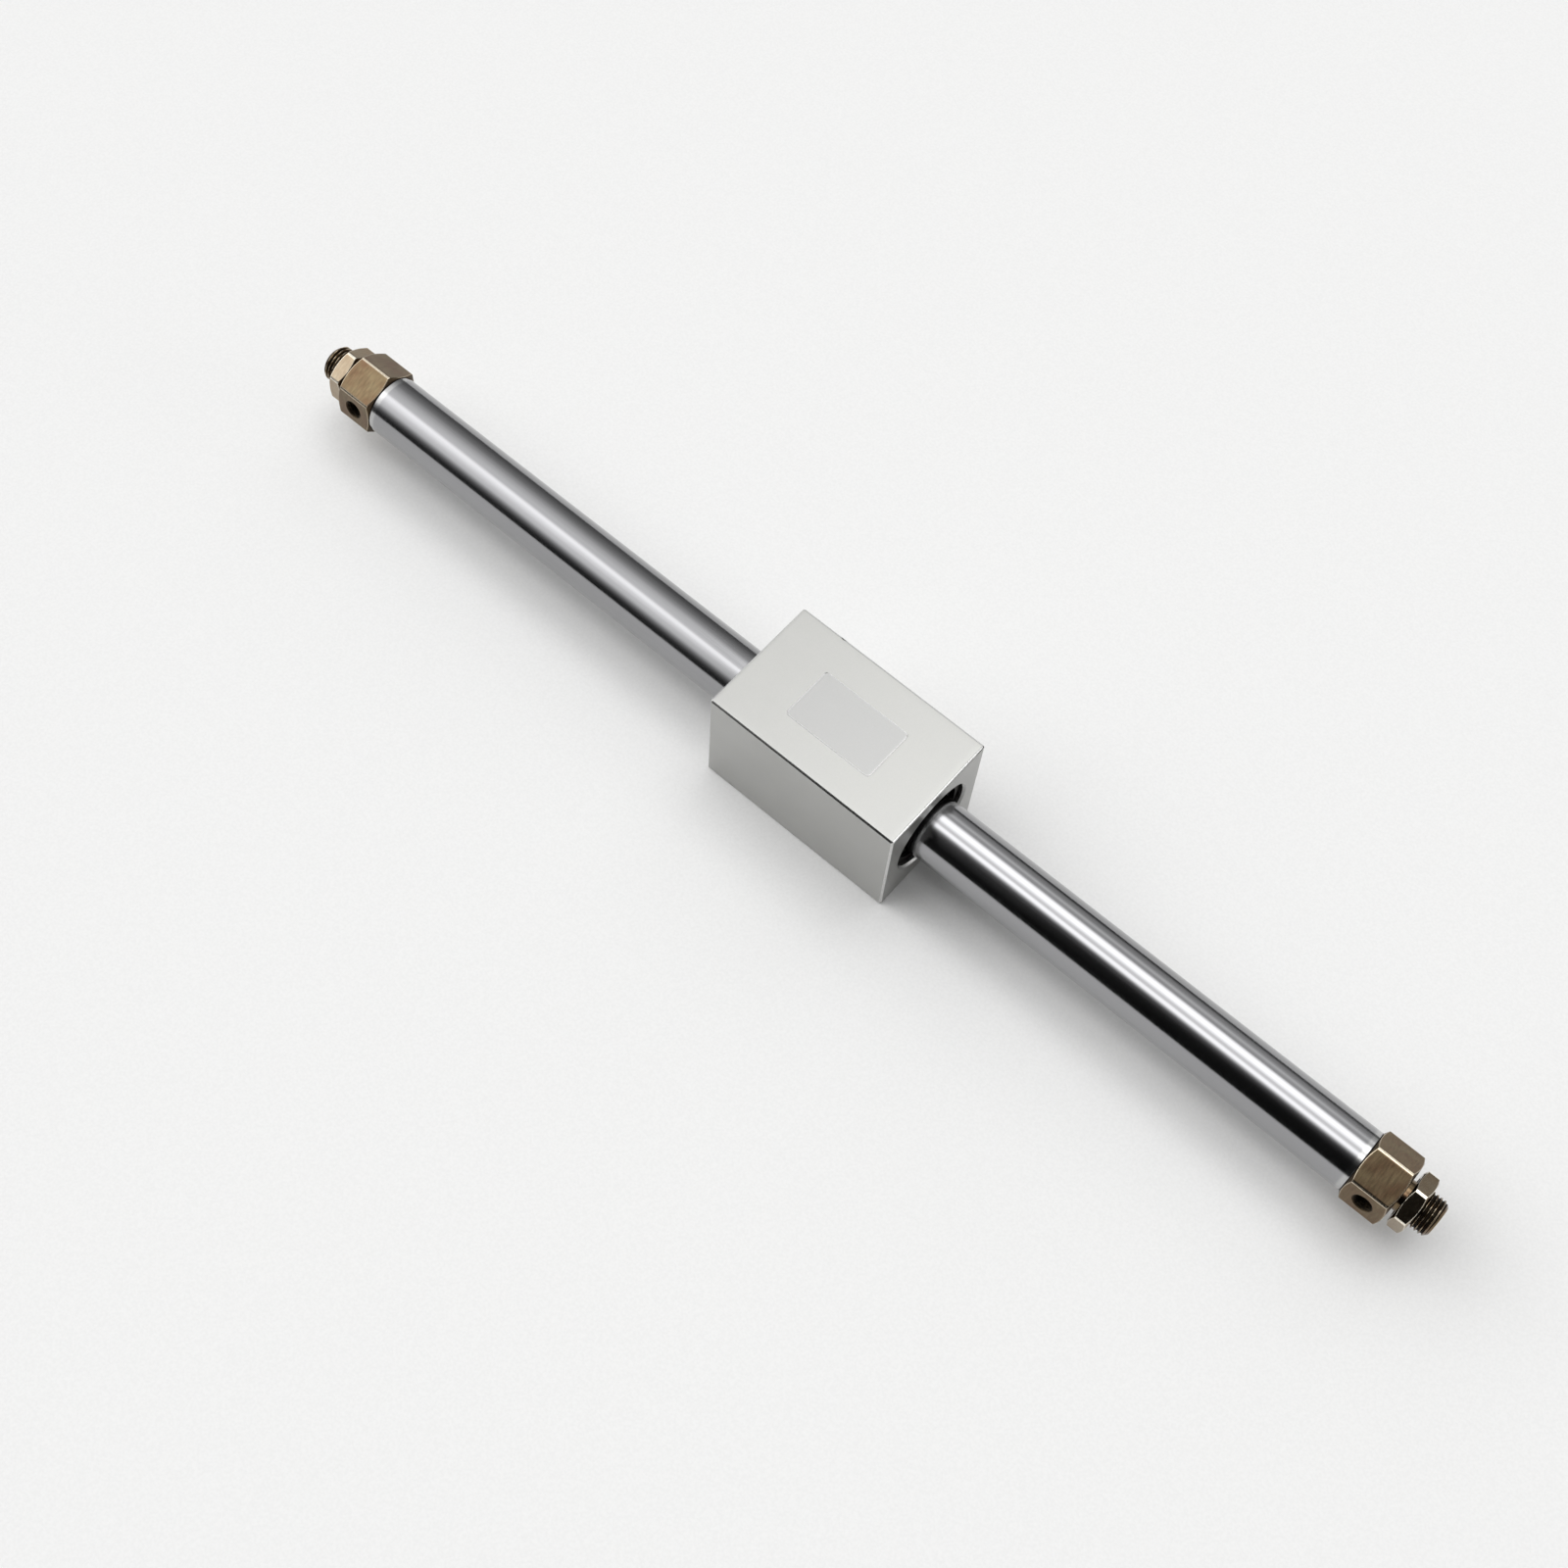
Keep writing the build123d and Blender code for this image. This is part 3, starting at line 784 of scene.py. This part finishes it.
def head_cover(name, side):
    """Spigot, hexagon and stud round the axis that points out of this end of the tube."""
    spigot = profile([
        (spigot_end, 0, 0),
        (spigot_end, SPIGOT_RADIUS, SPIGOT_ROUNDING),
        (spigot_end + GROOVE_START, SPIGOT_RADIUS, GROOVE_EDGE_ROUNDING),
        (spigot_end + GROOVE_START, GROOVE_RADIUS, GROOVE_ROOT_ROUNDING),
        (spigot_end + GROOVE_END, GROOVE_RADIUS, GROOVE_ROOT_ROUNDING),
        (spigot_end + GROOVE_END, SPIGOT_RADIUS, GROOVE_EDGE_ROUNDING),
        (hex_start - SPIGOT_SEAM, SPIGOT_RADIUS, 0),
    ], SPIGOT_STEP)
    hexed = profile([
        (hex_start - SPIGOT_SEAM, SPIGOT_RADIUS, 0),
        (hex_start, SPIGOT_RADIUS, HEX_START_ROUNDING),
        *turned_off_hexagon(hex_start, hex_end, HEX_FLATS, HEX_FACE_INSET, HEX_CHAMFER_ANGLE),
        (hex_end, RELIEF_RADIUS + RELIEF_SEAM, 0),
    ], HEX_STEP)
    stud = profile([
        (hex_end, RELIEF_RADIUS + RELIEF_SEAM, 0),
        (hex_end, RELIEF_RADIUS, RELIEF_ROUNDING),
        (hex_end + RELIEF_LENGTH, RELIEF_RADIUS, RELIEF_ROUNDING),
        (hex_end + RELIEF_LENGTH + STUD_RADIUS - RELIEF_RADIUS, STUD_RADIUS, STUD_EDGE_ROUNDING),
        (stud_end - STUD_CHAMFER, STUD_RADIUS, STUD_EDGE_ROUNDING),
        (stud_end, STUD_RADIUS - STUD_CHAMFER, STUD_TIP_ROUNDING),
        (stud_end, TIP_SEAM, 0),
    ], STUD_STEP)
    tip = profile([(stud_end, TIP_SEAM, 0), (stud_end, 0, 0)], TIP_STEP)
    along, out, wear_and_painted_light = np.vstack([spigot, hexed, stud, tip]).T[..., None]
    rise = side * PORT_RISE
    turns = hex_turns(rise)
    flats, bevels = hexagon(turns, rise, HEX_FLATS)
    drop = thread_drop(along, turns, STUD_PITCH)
    threaded = STUD_RADIUS - THREAD_SHARE * STUD_PITCH * drop
    limit = np.where(along > hex_end, threaded, flats)
    radius = lower_of(out + 0 * turns, limit)
    in_hex = (along >= hex_start) & (along <= hex_end)
    # The hexagon's edge value: painted highlights on its bevels and rims, and painted shade on its
    # turned cones.
    worn_and_painted_light = hexagon_wear_and_painted_light(out, flats, bevels, COVER_RIM, CONE_PAINTED_SHADE)
    in_thread = (along > hex_end + RELIEF_LENGTH) & (out > threaded)
    wear_and_painted_light = np.where(in_hex, worn_and_painted_light, wear_and_painted_light + 0 * turns)
    # The thread's edge value: a painted highlight on each crest, turning to painted shade in the root.
    wear_and_painted_light = np.where(in_thread, np.clip(CREST_WEAR_AND_HIGHLIGHT - ROOT_PAINTED_SHADE * drop, -1, 1), wear_and_painted_light)
    return skin(name, round_axis(along, radius, turns, (side, 0, 0)), wear_and_painted_light)


def port_plug(side):
    """The air port in the flat that faces the front, with its countersink and thread."""
    outward = np.array([0, -np.cos(PORT_RISE), np.sin(PORT_RISE)])
    middle = np.array([side * (hex_end - PORT_INSET), 0, 0])
    corners = [
        (-PLUG_PROUD, 0, 0),
        (-PLUG_PROUD, PORT_MOUTH + PLUG_PROUD, 0),
        (PORT_MOUTH - PORT_RADIUS, PORT_RADIUS, 0),
        (HEX_FLATS / 2 + PORT_OVERRUN, PORT_RADIUS, 0),
        (HEX_FLATS / 2 + PORT_OVERRUN, 0, 0),
    ]
    tap = (PORT_MAJOR, PORT_PITCH, PORT_THREAD_DEPTH)
    mouth = middle + HEX_FLATS / 2 * outward
    return plug("port_plug", mouth, -outward, (1, 0, 0), corners, TAP_STEP, tap)


def passage_plug(side):
    """The plain air passage from the spigot's end to the port."""
    length = hex_end - PORT_INSET + PASSAGE_OVERRUN - spigot_end
    corners = [
        (-PLUG_PROUD, 0, 0),
        (-PLUG_PROUD, PASSAGE_RADIUS, 0),
        (length, PASSAGE_RADIUS, 0),
        (length, 0, 0),
    ]
    start = (side * spigot_end, 0, 0)
    return plug("passage_plug", start, (side, 0, 0), (0, 0, 1), corners, PASSAGE_STEP)


for side, word in ((1, "right"), (-1, "left")):
    cover = head_cover(f"cover_{word}", side)
    cut(cover, port_plug(side), passage_plug(side))
    dress(cover, "cover_bronze", "cylinder", f"head_cover_{word}")

# %% [markdown]
# The mounting nuts are thin hexagons with both faces turned off to a circle, so six curved
# scallops show on each side. They are rings, with a countersink at each end of the hole.

# %% The mounting nuts
NUT_FLATS = 14.0
NUT_FACE_INSET = 0.2
NUT_CHAMFER_ANGLE = np.radians(28)
NUT_TURN = {"left": np.radians(3.4), "right": np.radians(-4.5)}
NUT_BORE = 5.05
NUT_COUNTERSINK = 0.45
NUT_ROUNDING = 0.08
NUT_STEP = 0.15
NUT_RIM, NUT_CONE = 1.0, 0.0            # the painted highlight on a nut's rims, on plating rubbed bright, and the value of its turned cones


def nut(name, side, word):
    """A ring: the turned-off hexagon outside, and the countersunk bore back along the inside."""
    low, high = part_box(f"mounting_nut_{word}")
    start, end = sorted((abs(low.x) / MM, abs(high.x) / MM))
    path = profile([
        *turned_off_hexagon(start, end, NUT_FLATS, NUT_FACE_INSET, NUT_CHAMFER_ANGLE),
        (end, NUT_BORE + NUT_COUNTERSINK, NUT_ROUNDING),
        (end - NUT_COUNTERSINK, NUT_BORE, NUT_ROUNDING),
        (start + NUT_COUNTERSINK, NUT_BORE, NUT_ROUNDING),
        (start, NUT_BORE + NUT_COUNTERSINK, NUT_ROUNDING),
    ], NUT_STEP, closed=True)
    along, out, wear_and_painted_light = path.T[..., None]
    rise = side * NUT_TURN[word]
    turns = hex_turns(rise)
    flats, bevels = hexagon(turns, rise, NUT_FLATS)
    radius = lower_of(out + 0 * turns, flats)
    outside = out > NUT_BORE + 2 * NUT_COUNTERSINK
    # Painted highlights on the nut's bevels and rims.
    worn_and_painted_light = hexagon_wear_and_painted_light(out, flats, bevels, NUT_RIM, NUT_CONE)
    wear_and_painted_light = np.where(outside, worn_and_painted_light, wear_and_painted_light + 0 * turns)
    return skin(name, round_axis(along, radius, turns, (side, 0, 0)), wear_and_painted_light, closed=True)


for side, word in ((1, "right"), (-1, "left")):
    made = nut(f"nut_{word}", side, word)
    dress(made, "nut_nickel", f"nut_{word}", f"mounting_nut_{word}")

# %% [markdown]
# The slider's block is a square bar, bored through. Its rows run from a square outside to a circle
# in the bore, so each row carries a squareness: 1 for the square, 0 for the circle, and between
# them on the end faces. The columns follow the square's own outline, so its corners stay true.

# %% The slider's block
BLOCK_CHAMFER = 0.5
BLOCK_BORE = 11.65
RECESS_RADIUS = 12.45
RING_GROOVE_RADIUS = 13.15
RECESS_CHAMFER = 0.6
RING_INSET = 1.5
RING_GROOVE_WIDTH = 1.3
SPACER_THICKNESS = 1.2
LOAD_HOLES = [(x, y) for x in (-17.5, 17.5) for y in (-9.5, 9.5)]
LOAD_HOLE_RADIUS = 1.65
LOAD_HOLE_MAJOR = 2.0
LOAD_HOLE_MOUTH = 2.15
LOAD_HOLE_PITCH = 0.7
LOAD_HOLE_DEPTH = 6.0
LOAD_HOLE_THREAD = 5.4
LOAD_HOLE_TIP_ANGLE = np.radians(118)
LOAD_HOLE_TIP = LOAD_HOLE_RADIUS / np.tan(LOAD_HOLE_TIP_ANGLE / 2)
NICK_PLACE = -15.6
NICK_HALF = 0.9
NICK_DEPTH = 0.55
NICK_RISE = NICK_DEPTH / 3  # of the dent's middle, out from the middle of the edge's bevel
NICK_ROWS, NICK_COLUMNS = 9, 16
BLOCK_STEP = 1.0
BLOCK_ROUNDING = 0.08
GROOVE_ROUNDING = 0.04
OUTLINE_ROUNDING = 0.05
CORNER_MARGIN = 0.02        # how far the outline lies inside the square where it counts as cut
SHELL_THICKNESS = 1.0       # under the outer faces, which is never taken for the bore
# painted shade inside the bore and the recess
BORE_PAINTED_SHADE = -0.9

block_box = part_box("slider_body")
block_half = block_box[1].x / MM
block_side = block_box[1].z / MM


def square_turns():
    """The angles of points along the block's outline, a square with its corners cut."""
    flat, edge, middle = block_side, block_side - BLOCK_CHAMFER, block_side - BLOCK_CHAMFER / 2
    quarter = np.array([(flat, -edge), (flat, edge), (middle, middle)])
    turned = [quarter @ np.linalg.matrix_power(np.array([[0, 1], [-1, 0]]), n) for n in range(4)]
    corners = np.vstack(turned)
    roundings = np.full(len(corners), OUTLINE_ROUNDING)
    outline = profile(np.column_stack([corners, roundings]), BLOCK_STEP, closed=True)
    return np.arctan2(outline[:-1, 1], outline[:-1, 0])


def block_body():
    """Out along the square, in over the end face, back through the bore, and out again."""
    groove_end = block_half - RING_INSET
    groove_start = groove_end - RING_GROOVE_WIDTH
    recess_end = groove_start - SPACER_THICKNESS
    half = [
        (block_half - BLOCK_CHAMFER, block_side, BLOCK_ROUNDING, 1),
        (block_half, block_side - BLOCK_CHAMFER, BLOCK_ROUNDING, 1),
        (block_half, RECESS_RADIUS + RECESS_CHAMFER, BLOCK_ROUNDING, 0),
        (block_half - RECESS_CHAMFER, RECESS_RADIUS, BLOCK_ROUNDING, 0),
        (groove_end, RECESS_RADIUS, GROOVE_ROUNDING, 0),
        (groove_end, RING_GROOVE_RADIUS, GROOVE_ROUNDING, 0),
        (groove_start, RING_GROOVE_RADIUS, GROOVE_ROUNDING, 0),
        (groove_start, RECESS_RADIUS, GROOVE_ROUNDING, 0),
        (recess_end, RECESS_RADIUS, GROOVE_ROUNDING, 0),
        (recess_end, BLOCK_BORE, GROOVE_ROUNDING, 0),
    ]
    other_half = [(-x, out, rounding, squareness) for x, out, rounding, squareness in half[::-1]]
    path = profile(half + other_half, BLOCK_STEP, closed=True)
    along, out, squareness = path[:, [0, 1, 3]].T[..., None]
    turns = square_turns()
    across = np.maximum(np.abs(np.cos(turns)), np.abs(np.sin(turns)))
    diagonal = np.abs(np.cos(turns)) + np.abs(np.sin(turns))
    square = lower_of(out / across, (2 * block_side - BLOCK_CHAMFER) / diagonal)
    radius = squareness * square + (1 - squareness) * out
    on_end = (np.abs(along) > block_half - BLOCK_CHAMFER) & (out > block_side - BLOCK_CHAMFER)
    on_corner = (radius > block_side) & (square < out / across - CORNER_MARGIN)
    on_mouth = (np.abs(along) > block_half - RECESS_CHAMFER) & (out < RECESS_RADIUS + RECESS_CHAMFER)
    inside = (np.abs(along) < block_half - RECESS_CHAMFER) & (out < block_side - SHELL_THICKNESS)
    # Painted highlights on the end chamfers, the long chamfered edges and the mouth's chamfer, and
    # painted shade in the recess and the bore.
    wear_and_painted_light = np.where(on_end | on_corner | on_mouth, 1.0, np.where(inside, BORE_PAINTED_SHADE, 0.0))
    return skin("block", round_axis(along, radius, turns), wear_and_painted_light, closed=True)


def load_hole(x, y):
    """A tapped hole up into the underside, drilled to a pointed end."""
    corners = [
        (-PLUG_PROUD, 0, 0),
        (-PLUG_PROUD, LOAD_HOLE_MOUTH + PLUG_PROUD, 0),
        (LOAD_HOLE_MOUTH - LOAD_HOLE_RADIUS, LOAD_HOLE_RADIUS, 0),
        (LOAD_HOLE_DEPTH, LOAD_HOLE_RADIUS, 0),
        (LOAD_HOLE_DEPTH + LOAD_HOLE_TIP, 0, 0),
    ]
    tap = (LOAD_HOLE_MAJOR, LOAD_HOLE_PITCH, LOAD_HOLE_THREAD)
    return plug("load_hole", (x, y, -block_side), (0, 0, 1), (1, 0, 0), corners, TAP_STEP, tap)


def nick():
    """A small dent in the back top edge, a ball squashed along the tube; its walls carry painted
    shade.
    """
    steps = np.linspace(-1, 1, NICK_ROWS)
    along = NICK_PLACE + NICK_HALF * steps[:, None]
    out = NICK_DEPTH * np.sqrt(1 - steps[:, None] ** 2)
    turns = np.arange(NICK_COLUMNS) * TURN / NICK_COLUMNS
    edge = block_side - BLOCK_CHAMFER / 2 + NICK_RISE
    return skin("nick", round_axis(along, out, turns, origin=(0, edge, edge)), FULL_PAINTED_SHADE)


block = block_body()
cut(block, nick(), *[load_hole(x, y) for x, y in LOAD_HOLES])
dress(block, "anodised_block", "slider", "slider_body")

# %% [markdown]
# A thin film label lies on the block's top, and is left blank. It is a plate of a twentieth of a
# millimetre with rounded corners: loops of its outline shrink to a point below and above.

# %% The label
LABEL_MIDDLE = (0.1, -0.25)
LABEL_HALF_X, LABEL_HALF_Y = 13.05, 7.75
LABEL_CORNER = 1.2
LABEL_THICKNESS = 0.05
LABEL_RIM = 0.02
LABEL_STEP = 1.0
LABEL_ROWS = [              # each loop's share of the outline, its height and its mark for the rim's painted highlight
    (0, 0, 0),
    (1, 0, 1),
    (1, LABEL_THICKNESS - LABEL_RIM, 1),
    (0.998, LABEL_THICKNESS, 1),
    (0.98, LABEL_THICKNESS, 1),
    (0.97, LABEL_THICKNESS, 0),
    (0.6, LABEL_THICKNESS, 0),
    (0, LABEL_THICKNESS, 0),
]


def label():
    """Rounded rectangle loops, scaled by each row: none, full, full, nearly full, the inside of
    the rim, and none again. The rim takes a colour of its own, a shade darker and more metallic,
    which paints a highlight along the film's edge."""
    corners = [(-1, -1), (1, -1), (1, 1), (-1, 1)]
    outline = profile(
        [(y * LABEL_HALF_Y, x * LABEL_HALF_X, LABEL_CORNER) for y, x in corners],
        LABEL_STEP, closed=True,
    )[:-1]
    turns = np.arctan2(outline[:, 1], outline[:, 0])
    reach = np.hypot(outline[:, 0], outline[:, 1])
    scale, height, wear_and_painted_light = np.array(LABEL_ROWS).T[..., None]
    origin = (*LABEL_MIDDLE, block_side)
    points = round_axis(height, scale * reach, turns, (0, 0, 1), (1, 0, 0), origin)
    return skin("label", points, wear_and_painted_light)


film = label()
film.data.materials.append(label_film)
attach(film, "slider")

# %% [markdown]
# Everything else stays as the CAD model made it, and only changes its finish. The loader brings in
# one plain material per slot, so each is exchanged for the finish of the same name.

# %% Dress the CAD nodes that stay
for name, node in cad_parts.items():
    for material_slot in node.material_slots:
        plain = material_slot.material.name.split(".")[0]
        material_slot.material = finishes[plain]
print("CAD nodes dressed:", len(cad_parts))
